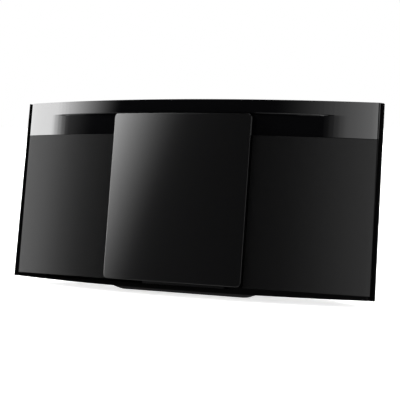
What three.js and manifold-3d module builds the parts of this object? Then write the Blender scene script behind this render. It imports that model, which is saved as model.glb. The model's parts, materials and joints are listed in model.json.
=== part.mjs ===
// Mini hifi system: a slim bowed stereo that leans back on a low stand.
//
// Millimetres. +X is the listener's right, -Y is the front and +Z is up. The floor is z = 0.
// The body is modelled upright in its own group: its front skin is an arc about a vertical
// axis behind it, and the plane y = 0 joins that arc's two ends. The group then leans back.

import * as THREE from "three";
import { mergeVertices } from "three/addons/utils/BufferGeometryUtils.js";
import Module from "manifold-3d";

const wasm = await Module();
wasm.setup();

// Driving dimensions of the whole set.
const HALF_WIDTH = 200;
const FACE_HEIGHT = 185.4;
const BOW = 26.4;
const LEAN_DEG = 9;
const FLOOR_DROP = 9.8;
const DEPTH_CENTRE = 24.55;
const GAP = 0.3;
const WRAP_Y = 4.2;
const ARC_STEPS = 20;

// The bow's arc, and how every skin is offset from it.
const SKIN_RADIUS = (HALF_WIDTH ** 2 + BOW ** 2) / (2 * BOW);
const ARC_CENTRE_Y = SKIN_RADIUS - BOW;
const CORNER_RADIUS = 5;

// Front cabinet.
const PARTING_Y = 6;
const WALL_INSET = 1.9;
const WALL_BACK_INSET = 4.4;
const BAND_WALL_INSET = 3.5;
const BAND_WALL_BACK_INSET = 6;
const CAVITY_TOP = 180;
const BODY_TOP = 185;
const UNDERSIDE_Z = -3.3;
const UNDERSIDE_DEG = 6.5;

// Rails that flank the front. Each one's outer side flares out towards the bottom.
const RAIL_INNER_X = 200.3;
const RAIL_TOP_X = 202;
const RAIL_BOTTOM_X = 204.8;
const RAIL_FRONT_Y = -0.5;
const RAIL_CHAMFER_Y = 1.5;

// Gloss band along the top of the front.
const BAND_BOTTOM = 150.3;
const STRIP_BOTTOM = 171.8;
const BAND_THICKNESS = 3.2;
const WINDOW_HALF = 155;
const WINDOW_TOP = 169.6;
const WINDOW_SAGITTA = 11.1;
const WINDOW_THICKNESS = 2.5;

// Grilles.
const GRILLE_BOTTOM = 0.7;
const GRILLE_TOP = 150;
const GRILLE_INNER_X = 78.4;
const GRILLE_THICKNESS = 1.5;

// Sliding door and its guides.
const DOOR_HALF = 77;
const DOOR_BOTTOM = 0.9;
const DOOR_TOP = 171.1;
const DOOR_FRONT_INSET = -3;
const DOOR_BACK_INSET = -0.6;
const DOOR_CORNER = 4;
const LOWER_TAB = [-30, 60];
const UPPER_TAB = [-20, 72];
const RACK_SPAN = [-60, 70];
const RACK_BACK_INSET = 7;
const RACK_ROOT_INSET = 11.7;
const RACK_Z = [0.3, 4.3];
const GEAR_MODULE = 1;
const DRIVE_GEAR_TEETH = 28;
const DRIVE_PINION_TEETH = 16;
const MOTOR_PINION_TEETH = 10;
const DRIVE_GEAR_X = -58;

// Disc bay. The disc lies upright on the hub, behind the door.
const HUB_X = 16;
const HUB_Z = 85;
const BAY_X = [-45.5, 77];
const BAY_Z = [22, 148];
const BAY_FLOOR_Y = -9;
const BAY_WALL = 2;
const SLED_START = 24;
const SLED_RAIL_X = 14;
const SLED_FLOOR_Z = 13;

// Rear cabinet.
const REAR_DEPTH = 44;
const REAR_SIDE_DEPTH = 14;
const REAR_FLAT_HALF = 118;
const REAR_WALL = 2.2;
const REAR_FLOOR_WALL = 1.2;

// Speakers, one on each side.
const SPEAKER_X = 138;
const SPEAKER_Z = 77;
const SPEAKER_TURN = Math.asin(SPEAKER_X / SKIN_RADIUS);
const BOX_INNER_X = 86;
const BOX_Z = [8, 148];
const BOX_WALL = 2.2;

// Top panel and its buttons.
const PANEL_HALF = 120;
const PANEL_BOTTOM = 182.7;
const BUTTON_NAMES = [
  "power_button",
  "source_button",
  "pairing_button",
  "volume_down_button",
  "volume_up_button",
  "stop_button",
  "play_pause_button",
  "open_close_button",
];
const BUTTON_PITCH = 17;
const BUTTON_Y = -5;
const BUTTON_SIZE = [12.4, 6.4];

// Stand.
const CABINET_SCREW_X = 83;
const CABINET_SCREW_Z = [18, 140];
const STAND_SCREW_X = 20;
const STAND_SCREW_Z = 30;
const STAND_TOP_HALF = 85;
const STAND_FOOT_HALF = 73;
const STAND_FRONT_Y = 0;
const STAND_BACK_Y = 78;
const STAND_UNDERSIDE = 0.5;
const STAND_SHOULDER = 4.6;
const STAND_TOP = 7;
const UPRIGHT_HALF = 32;
const UPRIGHT_TOP = 42;
const UPRIGHT_THICKNESS = 5;
const FOOT_RADIUS = 6;

const matte = { color: 0x121213, roughness: 0.55, metalness: 0 };
const gloss = { color: 0x050506, roughness: 0.06, metalness: 0 };
const mesh = { color: 0x202022, roughness: 0.7, metalness: 0 };
const rubber = { color: 0x0e0e0e, roughness: 0.9, metalness: 0 };
const steel = { color: 0xb4b6b8, roughness: 0.35, metalness: 1 };
const aluminium = { color: 0xa9abad, roughness: 0.45, metalness: 1 };
const acetal = { color: 0xe6e3da, roughness: 0.5, metalness: 0 };
const board = { color: 0x1f5a33, roughness: 0.5, metalness: 0 };
const paper = { color: 0x26262a, roughness: 0.85, metalness: 0 };
const dark = { color: 0x1b1b1d, roughness: 0.5, metalness: 0 };

// Solids: closed three.js geometry in, boolean result out.

function solid(geometry) {
  const bare = geometry.clone();
  bare.deleteAttribute("normal");
  bare.deleteAttribute("uv");
  const merged = mergeVertices(bare, 1e-4);
  const data = {
    numProp: 3,
    vertProperties: merged.attributes.position.array,
    triVerts: new Uint32Array(merged.index.array),
  };
  return new wasm.Manifold(new wasm.Mesh(data));
}

function geometryOf(shape) {
  const data = shape.getMesh();
  const geometry = new THREE.BufferGeometry();
  geometry.setAttribute("position", new THREE.BufferAttribute(data.vertProperties, 3));
  geometry.setIndex(new THREE.BufferAttribute(data.triVerts, 1));
  return geometry;
}

function cut(shape, ...tools) {
  return tools.reduce((left, tool) => left.subtract(tool), shape);
}

function join(shape, ...others) {
  return others.reduce((left, other) => left.add(other), shape);
}

function box(x, y, z) {
  const geometry = new THREE.BoxGeometry(x[1] - x[0], y[1] - y[0], z[1] - z[0]);
  geometry.translate((x[0] + x[1]) / 2, (y[0] + y[1]) / 2, (z[0] + z[1]) / 2);
  return solid(geometry);
}

// A cylinder whose axis runs along y or z from one end to the other.
function rod(axis, centre, ends, radius, sides = 20) {
  const length = ends[1] - ends[0];
  const middle = (ends[0] + ends[1]) / 2;
  const geometry = new THREE.CylinderGeometry(radius, radius, length, sides);
  if (axis === "y") geometry.translate(centre[0], middle, centre[1]);
  if (axis === "z") geometry.rotateX(Math.PI / 2).translate(centre[0], centre[1], middle);
  return solid(geometry);
}

// A plan outline in x and y, raised from z[0] to z[1].
function raise(shape, z, curveSteps = 6) {
  const settings = { depth: z[1] - z[0], bevelEnabled: false, curveSegments: curveSteps };
  return solid(new THREE.ExtrudeGeometry(shape, settings).translate(0, 0, z[0]));
}

// An outline drawn in x and z, given a depth in y.
function faceExtrude(shape, y, curveSteps = 4) {
  const settings = { depth: y[1] - y[0], bevelEnabled: false, curveSegments: curveSteps };
  const geometry = new THREE.ExtrudeGeometry(shape, settings);
  return solid(geometry.rotateX(Math.PI / 2).translate(0, y[1], 0));
}

function roundedRectangle(x, z, radius) {
  const shape = new THREE.Shape();
  shape.moveTo(x[0] + radius, z[0]);
  shape.absarc(x[1] - radius, z[0] + radius, radius, -Math.PI / 2, 0);
  shape.absarc(x[1] - radius, z[1] - radius, radius, 0, Math.PI / 2);
  shape.absarc(x[0] + radius, z[1] - radius, radius, Math.PI / 2, Math.PI);
  shape.absarc(x[0] + radius, z[0] + radius, radius, Math.PI, 1.5 * Math.PI);
  return shape;
}

// Turns a profile of [radius, height] points, which is closed or ends on the axis.
function turned(points, sides = 28) {
  const profile = points.map(([r, h]) => new THREE.Vector2(r, h));
  return solid(new THREE.LatheGeometry(profile, sides));
}

// y of the skin at x, on the arc that lies inset behind the front skin.
function skinY(x, inset = 0) {
  return ARC_CENTRE_Y - Math.sqrt((SKIN_RADIUS - inset) ** 2 - x ** 2);
}

// The front skin's outline at an inset, with round outer corners, closed along y = back.
function bodyPlan(inset, back) {
  const side = HALF_WIDTH - inset;
  const corner = Math.max(CORNER_RADIUS - inset, 0);
  const cornerSteps = corner > 0.5 ? 3 : 0;
  const filletX = side - corner;
  const filletY = skinY(filletX, inset + corner);
  const tangent = Math.atan2(filletY - ARC_CENTRE_Y, filletX);
  const shape = new THREE.Shape();
  shape.moveTo(side, back);
  shape.lineTo(side, filletY);
  for (let i = 1; i <= cornerSteps; i++) {
    const angle = (tangent * i) / cornerSteps;
    shape.lineTo(filletX + corner * Math.cos(angle), filletY + corner * Math.sin(angle));
  }
  const sweep = -Math.PI - 2 * tangent;
  for (let i = 1; i <= ARC_STEPS; i++) {
    const angle = tangent + (sweep * i) / ARC_STEPS;
    const radius = SKIN_RADIUS - inset;
    shape.lineTo(radius * Math.cos(angle), ARC_CENTRE_Y + radius * Math.sin(angle));
  }
  for (let i = cornerSteps - 1; i >= 0; i--) {
    const angle = -Math.PI - (tangent * i) / cornerSteps;
    shape.lineTo(-filletX + corner * Math.cos(angle), filletY + corner * Math.sin(angle));
  }
  shape.lineTo(-side, back);
  return shape;
}

function slab(inset, back, z) {
  return raise(bodyPlan(inset, back), z);
}

// The layer between two insets, trimmed to a box.
function skinLayer(front, behind, x, z, back = PARTING_Y) {
  const layer = cut(slab(front, 30, z), slab(behind, 31, [z[0] - 1, z[1] + 1]));
  return layer.intersect(box(x, [-60, back], z));
}

// Everything below the body's slanted underside.
function underside() {
  const geometry = new THREE.BoxGeometry(500, 200, 60);
  geometry.translate(0, 0, -30);
  geometry.rotateX(THREE.MathUtils.degToRad(UNDERSIDE_DEG));
  geometry.translate(0, 0, UNDERSIDE_Z);
  return solid(geometry);
}

// Front of the cabinet.

// The space between the two rails' flared outer sides.
function betweenFlares(y) {
  const slope = (RAIL_BOTTOM_X - RAIL_TOP_X) / FACE_HEIGHT;
  const low = RAIL_BOTTOM_X + 10 * slope;
  const high = RAIL_TOP_X - 10 * slope;
  const shape = new THREE.Shape();
  shape.moveTo(-low, -10);
  shape.lineTo(low, -10);
  shape.lineTo(high, FACE_HEIGHT + 10);
  shape.lineTo(-high, FACE_HEIGHT + 10);
  return faceExtrude(shape, y);
}

function sideRails() {
  const wrapBack = WRAP_Y + GAP + 0.1;
  const shape = new THREE.Shape();
  shape.moveTo(RAIL_INNER_X, RAIL_FRONT_Y);
  shape.lineTo(RAIL_BOTTOM_X + 1, RAIL_FRONT_Y);
  shape.lineTo(RAIL_BOTTOM_X + 1, RAIL_CHAMFER_Y);
  shape.lineTo(HALF_WIDTH - 0.2, PARTING_Y);
  shape.lineTo(HALF_WIDTH - 0.8, PARTING_Y);
  shape.lineTo(HALF_WIDTH - 0.8, wrapBack);
  shape.lineTo(RAIL_INNER_X, wrapBack);
  const rail = raise(shape, [-8, BODY_TOP]);
  return join(rail, rail.mirror([1, 0, 0])).intersect(betweenFlares([-10, 20]));
}

function frontCabinet() {
  let shape = slab(0, PARTING_Y, [-8, BODY_TOP]);
  const grilleTop = GRILLE_TOP + GAP;
  const beyond = slab(-9, WRAP_Y + GAP, [GRILLE_BOTTOM - GAP, grilleTop]);
  const wall = slab(WALL_INSET, 9, [-9, 190]);
  const bandFront = slab(-9, WRAP_Y + GAP, [grilleTop - 0.1, 190]);
  const bandWall = slab(BAND_WALL_INSET, 9, [140, 190]);
  shape = cut(shape, beyond.subtract(wall), bandFront.subtract(bandWall));
  shape = cut(shape, slab(WALL_BACK_INSET, 9, [0, 150]));
  shape = cut(shape, slab(BAND_WALL_BACK_INSET, 9, [149, CAVITY_TOP]));
  for (const side of [-1, 1]) {
    const x = side < 0 ? [-190, -86] : [86, 190];
    shape = cut(shape, box(x, [-40, 4], [8, 146]));
  }
  const windowOpening = box([-150, 150], [-40, -3], [BAND_BOTTOM - GAP, STRIP_BOTTOM - GAP]);
  const lowerSlot = box([-157, 65], [-40, -3], [-1.75, -0.45]);
  const groove = slab(WALL_BACK_INSET, 9, [-1.75, 1]).intersect(
    cut(box([-157, 65], [-40, 9], [-1.75, 1]), slab(9.6, 30, [-3, 3])),
  );
  const bayOpening = box(BAY_X, [-40, -12], [BAY_Z[0] - 1, BAY_Z[1] - 1]);
  shape = cut(shape, windowOpening, lowerSlot, groove, bayOpening);
  const panelX = PANEL_HALF + GAP;
  const panelRecess = box([-panelX, panelX], [-40, 9], [PANEL_BOTTOM - GAP, 190]);
  const buttonOpening = box([-70, 70], [BUTTON_Y - 6, BUTTON_Y + 6], [170, 190]);
  return cut(join(shape, sideRails()), panelRecess, buttonOpening, underside());
}

function grille(side) {
  const x = side < 0 ? [-HALF_WIDTH - 1, -GRILLE_INNER_X] : [GRILLE_INNER_X, HALF_WIDTH + 1];
  const z = [GRILLE_BOTTOM, GRILLE_TOP];
  return skinLayer(0, GRILLE_THICKNESS, x, z, WRAP_Y);
}

// y of the window's face, a flatter arc whose ends meet the skin.
function windowY(x) {
  return skinY(WINDOW_HALF) - WINDOW_SAGITTA * (1 - (x / WINDOW_HALF) ** 2);
}

function windowPlan(half, shift) {
  const shape = new THREE.Shape();
  const steps = 16;
  for (let i = 0; i <= steps; i++) {
    const x = half * ((2 * i) / steps - 1);
    if (i === 0) shape.moveTo(x, windowY(x) + shift);
    else shape.lineTo(x, windowY(x) + shift);
  }
  for (let i = steps; i >= 0; i--) {
    const x = half * ((2 * i) / steps - 1);
    shape.lineTo(x, windowY(x) + shift + WINDOW_THICKNESS);
  }
  return shape;
}

function displayWindow() {
  return raise(windowPlan(WINDOW_HALF - GAP, 0.05), [BAND_BOTTOM, WINDOW_TOP]);
}

function topOrnament() {
  const x = [-HALF_WIDTH - 1, HALF_WIDTH + 1];
  const band = skinLayer(0, BAND_THICKNESS, x, [BAND_BOTTOM, FACE_HEIGHT], WRAP_Y);
  const half = WINDOW_HALF;
  return cut(band, box([-half, half], [-60, 20], [BAND_BOTTOM - 1, STRIP_BOTTOM]));
}

function topPanel() {
  let shape = slab(BAND_WALL_INSET, PARTING_Y - GAP, [PANEL_BOTTOM, BODY_TOP]);
  shape = shape.intersect(box([-PANEL_HALF, PANEL_HALF], [-60, 20], [180, 190]));
  BUTTON_NAMES.forEach((name, i) => {
    shape = cut(shape, buttonPill(buttonX(i), GAP, [180, 190]));
  });
  return shape;
}

// Buttons.

function buttonX(i) {
  return (i - (BUTTON_NAMES.length - 1) / 2) * BUTTON_PITCH;
}

function buttonPill(x, grow, z) {
  const halfX = BUTTON_SIZE[0] / 2 + grow;
  const halfY = BUTTON_SIZE[1] / 2 + grow;
  const y = [BUTTON_Y - halfY, BUTTON_Y + halfY];
  const outline = roundedRectangle([x - halfX, x + halfX], y, halfY - 0.01);
  return raise(outline, z, 2);
}

function button(i) {
  const x = buttonX(i);
  const cap = buttonPill(x, 0, [181.2, BODY_TOP + 0.7]);
  const flange = box([x - 7.4, x + 7.4], [BUTTON_Y - 4.4, BUTTON_Y + 4.4], [181, 182.3]);
  const stem = rod("z", [x, BUTTON_Y], [178.3, 181.5], 1.6, 10);
  return join(cap, flange, stem);
}

function buttonBoard() {
  let shape = box([-68, 68], [BUTTON_Y - 5.5, BUTTON_Y + 5.5], [172, 173.6]);
  BUTTON_NAMES.forEach((name, i) => {
    const x = buttonX(i);
    shape = join(shape, box([x - 3, x + 3], [BUTTON_Y - 3, BUTTON_Y + 3], [173.5, 177.1]));
  });
  return shape;
}

// Sliding door and its drive.

function slidingDoor() {
  const outline = roundedRectangle([-DOOR_HALF, DOOR_HALF], [DOOR_BOTTOM, DOOR_TOP], DOOR_CORNER);
  const shell = skinLayer(DOOR_FRONT_INSET, DOOR_BACK_INSET, [-80, 80], [0, 175]);
  const panel = shell.intersect(faceExtrude(outline, [-60, 10]));
  const skirt = skinLayer(-1.6, -0.6, LOWER_TAB, [-1.5, 3]);
  const lowerFlange = skinLayer(-1.6, 9, LOWER_TAB, [-1.5, -0.7]);
  const boss = skinLayer(7, 9, LOWER_TAB, [-1.5, 0]);
  const upperFlange = skinLayer(-0.7, 9.3, UPPER_TAB, [170.3, DOOR_TOP]);
  const upperLip = skinLayer(8.3, 9.3, UPPER_TAB, [166.5, DOOR_TOP]);
  return join(panel, skirt, lowerFlange, boss, upperFlange, upperLip);
}

// One straight-flanked tooth of module 1: half widths at root and tip, and its two heights.
const TOOTH = { root: 0.9, tip: 0.28, add: 0.8, ded: 1.1 };

function gearOutline(teeth) {
  const pitchRadius = (teeth * GEAR_MODULE) / 2;
  const shape = new THREE.Shape();
  const corners = [
    [pitchRadius - TOOTH.ded, -TOOTH.root],
    [pitchRadius + TOOTH.add, -TOOTH.tip],
    [pitchRadius + TOOTH.add, TOOTH.tip],
    [pitchRadius - TOOTH.ded, TOOTH.root],
  ];
  for (let i = 0; i < teeth; i++) {
    const turn = (2 * Math.PI * i) / teeth;
    corners.forEach(([radius, half], j) => {
      const angle = turn + half / Math.max(radius, 1);
      const point = [radius * Math.cos(angle), radius * Math.sin(angle)];
      if (i + j === 0) shape.moveTo(...point);
      else shape.lineTo(...point);
    });
  }
  return shape;
}

function gear(teeth, z, bore) {
  return cut(raise(gearOutline(teeth), z), rod("z", [0, 0], [z[0] - 1, z[1] + 1], bore, 12));
}

// The drive gear stands where its pinion's pitch circle touches the rack's pitch arc.
const RACK_PITCH_INSET = RACK_ROOT_INSET + TOOTH.ded;
const DRIVE_GEAR_INSET = RACK_PITCH_INSET + (DRIVE_PINION_TEETH * GEAR_MODULE) / 2;
const DRIVE_GEAR_Y = skinY(DRIVE_GEAR_X, DRIVE_GEAR_INSET);
const RACK_PITCH_RADIUS = SKIN_RADIUS - RACK_PITCH_INSET;
const MOTOR_Y = DRIVE_GEAR_Y + ((DRIVE_GEAR_TEETH + MOTOR_PINION_TEETH) * GEAR_MODULE) / 2;
const RACK_SPACE = Math.asin(DRIVE_GEAR_X / (SKIN_RADIUS - DRIVE_GEAR_INSET));

// A curved rack with its teeth pointing back at the arc's centre.
function doorRack() {
  const step = (Math.PI * GEAR_MODULE) / RACK_PITCH_RADIUS;
  const first = Math.ceil((Math.asin(RACK_SPAN[0] / RACK_PITCH_RADIUS) - RACK_SPACE) / step);
  const last = Math.floor((Math.asin(RACK_SPAN[1] / RACK_PITCH_RADIUS) - RACK_SPACE) / step);
  const shape = new THREE.Shape();
  const put = (angle, radius, start) => {
    const point = [radius * Math.sin(angle), ARC_CENTRE_Y - radius * Math.cos(angle)];
    if (start) shape.moveTo(...point);
    else shape.lineTo(...point);
  };
  const root = SKIN_RADIUS - RACK_ROOT_INSET;
  for (let i = first; i < last; i++) {
    const middle = RACK_SPACE + step * (i + 0.5);
    put(middle - TOOTH.root / root, root, i === first);
    put(middle - TOOTH.tip / RACK_PITCH_RADIUS, RACK_PITCH_RADIUS - TOOTH.add);
    put(middle + TOOTH.tip / RACK_PITCH_RADIUS, RACK_PITCH_RADIUS - TOOTH.add);
    put(middle + TOOTH.root / root, root);
  }
  const back = SKIN_RADIUS - RACK_BACK_INSET;
  const start = RACK_SPACE + step * first;
  const span = step * (last - first);
  for (let i = 10; i >= 0; i--) put(start + (span * i) / 10, back);
  return raise(shape, RACK_Z);
}

function lowerDoorRail() {
  const x = [-188, 76];
  const plate = skinLayer(4.7, 11.5, x, [4.6, 5.8], 12);
  const lip = skinLayer(4.7, 6.6, x, [1, 5.8], 12);
  return join(plate, lip);
}

function upperDoorRail() {
  const x = [-148, 78];
  const wall = skinLayer(10.3, 12.3, x, [163.6, 174], 12);
  const plate = skinLayer(7.6, 12.3, x, [163.6, 165], 12);
  return join(wall, plate);
}

// A tooth gap of the pinion faces the rack, straight out along the arc's radius.
function driveGear() {
  const halfTooth = Math.PI / DRIVE_PINION_TEETH;
  const faceRack = RACK_SPACE - Math.PI / 2;
  const pinion = raise(gearOutline(DRIVE_PINION_TEETH), [0.6, 7.2]).rotate([
    0,
    0,
    THREE.MathUtils.radToDeg(faceRack + halfTooth * 2),
  ]);
  const wheel = raise(gearOutline(DRIVE_GEAR_TEETH), [7, 9.6]).rotate([0, 0, 90]);
  const hub = rod("z", [0, 0], [9.4, 11], 3.4, 14);
  return cut(join(pinion, wheel, hub), rod("z", [0, 0], [-1, 12], 1.3, 12));
}

function motorPinion() {
  const halfTooth = 180 / MOTOR_PINION_TEETH;
  const body = raise(gearOutline(MOTOR_PINION_TEETH), [6.6, 10]).rotate([0, 0, -90 + halfTooth]);
  return cut(body, rod("z", [0, 0], [5, 11], 1.2, 12));
}

// Motor can, output shaft, and the bracket with the drive gear's axle.
function doorMotor() {
  const can = rod("z", [DRIVE_GEAR_X, MOTOR_Y], [15, 38], 10, 24);
  const collar = rod("z", [DRIVE_GEAR_X, MOTOR_Y], [13.4, 15.5], 3.4, 14);
  const shaft = rod("z", [DRIVE_GEAR_X, MOTOR_Y], [6, 14], 0.9, 10);
  const axle = rod("z", [DRIVE_GEAR_X, DRIVE_GEAR_Y], [-0.0, 13.5], 1, 10);
  const bracket = box(
    [DRIVE_GEAR_X - 8, DRIVE_GEAR_X + 8],
    [DRIVE_GEAR_Y - 4, MOTOR_Y + 8],
    [12.2, 13.8],
  );
  return join(can, collar, shaft, axle, bracket);
}

// Disc bay and player mechanism.

function discBayPlate() {
  const z = [BAY_Z[0] - BAY_WALL - 1, BAY_Z[1] + BAY_WALL - 1];
  const x = [BAY_X[0] - BAY_WALL, BAY_X[1] + BAY_WALL];
  const back = BAY_FLOOR_Y + 2.5;
  const outer = slab(WALL_BACK_INSET + GAP, 30, z).intersect(box(x, [-60, back], z));
  const innerZ = [BAY_Z[0] - 1, BAY_Z[1] - 1];
  const inner = box(BAY_X, [-60, BAY_FLOOR_Y], innerZ);
  const hubHole = rod("y", [HUB_X, HUB_Z], [-20, 0], 9, 24);
  const dish = rod("y", [HUB_X, HUB_Z], [-20, BAY_FLOOR_Y + 0.8], 30, 32);
  const slot = box([HUB_X - 6, HUB_X + 6], [-20, 0], [HUB_Z - 62, HUB_Z - 18]);
  return cut(outer, inner, hubHole, dish, slot);
}

function discChassis() {
  const x = [HUB_X - 34, HUB_X + 40];
  const plate = box(x, [-5.6, -3.6], [SLED_FLOOR_Z, HUB_Z + 26]);
  const hubHole = rod("y", [HUB_X, HUB_Z], [-20, 0], 4, 16);
  const slot = box([HUB_X - 7, HUB_X + 7], [-20, 0], [HUB_Z - 63, HUB_Z - 14]);
  let shape = cut(plate, hubHole, slot);
  for (const side of [-1, 1]) {
    const centre = HUB_X + side * SLED_RAIL_X;
    for (const z of [[SLED_FLOOR_Z, SLED_FLOOR_Z + 3], [HUB_Z - 11, HUB_Z - 8]]) {
      const post = box([centre - 3.5, centre + 3.5], [-4, 6.5], z);
      shape = join(shape, cut(post, rod("z", [centre, 3], [z[0] - 1, z[1] + 1], 1.8, 12)));
    }
  }
  return shape;
}

function guideRod(side) {
  return rod("z", [HUB_X + side * SLED_RAIL_X, 3], [SLED_FLOOR_Z - 1, HUB_Z - 6.5], 1.5, 12);
}

function spindleMotor() {
  const can = rod("y", [HUB_X, HUB_Z], [-3.2, 5], 11.5, 24);
  const boss = rod("y", [HUB_X, HUB_Z], [4.8, 6], 3, 12);
  return cut(join(can, boss), rod("y", [HUB_X, HUB_Z], [-4, 3], 1.35, 12));
}

// A flange the disc rests on, a tapered nose that centres it, and the motor's shaft.
function turntableHub() {
  const profile = [
    [0, -17],
    [4.5, -17],
    [6.9, -15.4],
    [7.3, -12.6],
    [13.5, -12.6],
    [13.5, -11],
    [8, -11],
    [8, -8.5],
    [3, -8],
    [3, -6.5],
    [1, -6.5],
    [1, 2.4],
    [0, 2.4],
  ];
  return turned(profile).translate([HUB_X, 0, HUB_Z]);
}

// Sled gear and its rack: the gear stands beside the sled's right edge.
const SLED_GEAR_TEETH = 16;
const SLED_RACK_X = HUB_X + 21;
const SLED_GEAR_X = SLED_RACK_X + TOOTH.ded + SLED_GEAR_TEETH / 2;
const SLED_GEAR_Z = HUB_Z - 31;

function pickupSled() {
  const z = [HUB_Z - SLED_START - 9, HUB_Z - SLED_START + 9];
  let shape = box([HUB_X - 19, HUB_X + 19], [-1.2, 7], z);
  const lens = rod("y", [HUB_X, HUB_Z - SLED_START], [-8.6, 0], 3.6, 16);
  const turret = box([HUB_X - 5, HUB_X + 5], [-6.2, 0], [z[0] + 3, z[1] - 3]);
  shape = join(shape, lens, turret);
  for (const side of [-1, 1]) {
    const centre = HUB_X + side * SLED_RAIL_X;
    shape = cut(shape, rod("z", [centre, 3], [z[0] - 1, z[1] + 1], 1.8, 12));
  }
  return join(shape, sledRack());
}

function sledRack() {
  const pitch = Math.PI * GEAR_MODULE;
  const shape = new THREE.Shape();
  shape.moveTo(SLED_RACK_X - 3.5, SLED_GEAR_Z - pitch * 1.5);
  for (let i = -1; i <= 11; i++) {
    const z = SLED_GEAR_Z + pitch * i;
    const line = SLED_RACK_X + TOOTH.ded;
    shape.lineTo(SLED_RACK_X, z - TOOTH.root);
    shape.lineTo(line + TOOTH.add, z - TOOTH.tip);
    shape.lineTo(line + TOOTH.add, z + TOOTH.tip);
    shape.lineTo(SLED_RACK_X, z + TOOTH.root);
  }
  shape.lineTo(SLED_RACK_X - 3.5, SLED_GEAR_Z + pitch * 11.5);
  return faceExtrude(shape, [2.4, 5]);
}

function sledGear() {
  const flat = raise(gearOutline(SLED_GEAR_TEETH), [0, 2.6]);
  const upright = flat.rotate([0, 0, 180 / SLED_GEAR_TEETH]).rotate([90, 0, 0]);
  return cut(upright.translate([0, 5, 0]), rod("y", [0, 0], [0, 8], 1.3, 12));
}

function sledMotor() {
  const centre = [SLED_GEAR_X, SLED_GEAR_Z];
  const can = rod("y", centre, [7, 15], 7.5, 20);
  const shaft = rod("y", centre, [-1, 7.5], 1, 10);
  const arm = box([SLED_GEAR_X - 3, SLED_GEAR_X + 14], [-3.2, -1], [SLED_GEAR_Z - 4, SLED_GEAR_Z + 4]);
  const leg = box([SLED_GEAR_X + 11, SLED_GEAR_X + 14], [-3.2, 14], [SLED_GEAR_Z - 4, SLED_GEAR_Z + 4]);
  const bridge = box([SLED_GEAR_X, SLED_GEAR_X + 14], [11, 14], [SLED_GEAR_Z - 4, SLED_GEAR_Z + 4]);
  return join(can, shaft, arm, leg, bridge);
}

// Speakers. Each driver is turned to face straight out of the bow.

// Rear outline of a shell from its right side wall to its left one, moved in by an inset.
function rearCurve(inset) {
  const side = HALF_WIDTH - 0.2 - inset;
  const shoulder = REAR_SIDE_DEPTH - inset * 1.3;
  const depth = REAR_DEPTH - inset;
  const flat = REAR_FLAT_HALF - inset;
  const curve = new THREE.CubicBezierCurve(
    new THREE.Vector2(side - 4, shoulder),
    new THREE.Vector2(flat + 50, shoulder + 2),
    new THREE.Vector2(flat + 34, depth),
    new THREE.Vector2(flat, depth),
  );
  return [new THREE.Vector2(side, shoulder - 4), ...curve.getPoints(8)];
}

function rearPlan(inset, front) {
  const right = rearCurve(inset);
  const shape = new THREE.Shape();
  shape.moveTo(-right[0].x, front);
  shape.lineTo(right[0].x, front);
  for (const point of right) shape.lineTo(point.x, point.y);
  for (const point of [...right].reverse()) shape.lineTo(-point.x, point.y);
  return shape;
}

function speakerFrontY(x, inset) {
  const faceX = SPEAKER_X;
  const slope = Math.tan(SPEAKER_TURN);
  return skinY(faceX) + inset / Math.cos(SPEAKER_TURN) + (x - faceX) * slope;
}

function speakerBoxPlan(wall) {
  const back = rearCurve(3.6 + wall);
  const inner = BOX_INNER_X + wall;
  const outer = HALF_WIDTH - 11 - wall;
  const shape = new THREE.Shape();
  shape.moveTo(inner, speakerFrontY(inner, 7 + wall));
  shape.lineTo(outer, speakerFrontY(outer, 7 + wall));
  for (const point of back) {
    if (point.x < outer) shape.lineTo(point.x, point.y);
  }
  shape.lineTo(inner, back[back.length - 1].y);
  return shape;
}

function mirrored(shape, side) {
  return side < 0 ? shape.mirror([1, 0, 0]) : shape;
}

function speakerBox(side) {
  const outer = raise(speakerBoxPlan(0), BOX_Z);
  const inner = raise(speakerBoxPlan(BOX_WALL), [BOX_Z[0] + BOX_WALL, BOX_Z[1] - BOX_WALL]);
  const hole = rod("y", [0, 0], [0, 12], 37.8, 24)
    .rotate([0, 0, THREE.MathUtils.radToDeg(SPEAKER_TURN)])
    .translate([SPEAKER_X, skinY(SPEAKER_X), SPEAKER_Z]);
  return mirrored(cut(outer, inner, hole), side);
}

function driverBasket() {
  const shell = turned([
    [36.1, 4.6],
    [41.4, 4.6],
    [41.4, 6.4],
    [37.4, 6.4],
    [37.4, 10],
    [24, 22.4],
    [24, 24],
    [12.2, 24],
    [12.2, 22.6],
    [22.6, 22.6],
    [22.6, 21.4],
    [36.1, 9.4],
    [36.1, 4.6],
  ]);
  const windows = [];
  for (let i = 0; i < 4; i++) {
    const opening = box([-8, 8], [11.5, 19.5], [15, 50]);
    windows.push(opening.rotate([0, 45 + 90 * i, 0]));
  }
  return cut(shell, ...windows);
}

function driverMagnet() {
  return turned([
    [0, 24.3],
    [8.8, 24.3],
    [8.8, 30.8],
    [11.7, 30.8],
    [11.7, 24.3],
    [22, 24.3],
    [22, 32.6],
    [0, 32.6],
  ]);
}

function speakerCone() {
  return turned([
    [0, 11.6],
    [6, 12.6],
    [10.6, 15.6],
    [11.2, 16.2],
    [30, 5.9],
    [30.6, 6.2],
    [30.6, 7],
    [11.2, 17.8],
    [10.8, 18],
    [10.8, 28.4],
    [9.8, 28.4],
    [9.8, 16.2],
    [6, 13.6],
    [0, 12.6],
  ]);
}

function surround() {
  const middle = 33.4;
  const points = [];
  const steps = 4;
  for (let i = 0; i <= steps; i++) {
    const angle = (Math.PI * i) / steps;
    points.push([middle - 2.4 * Math.cos(angle), 6.8 - 2.4 * Math.sin(angle)]);
  }
  for (let i = steps; i >= 0; i--) {
    const angle = (Math.PI * i) / steps;
    points.push([middle - 1.7 * Math.cos(angle), 6.8 - 1.7 * Math.sin(angle)]);
  }
  points.push(points[0]);
  return turned(points);
}

// Electronics.

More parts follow.
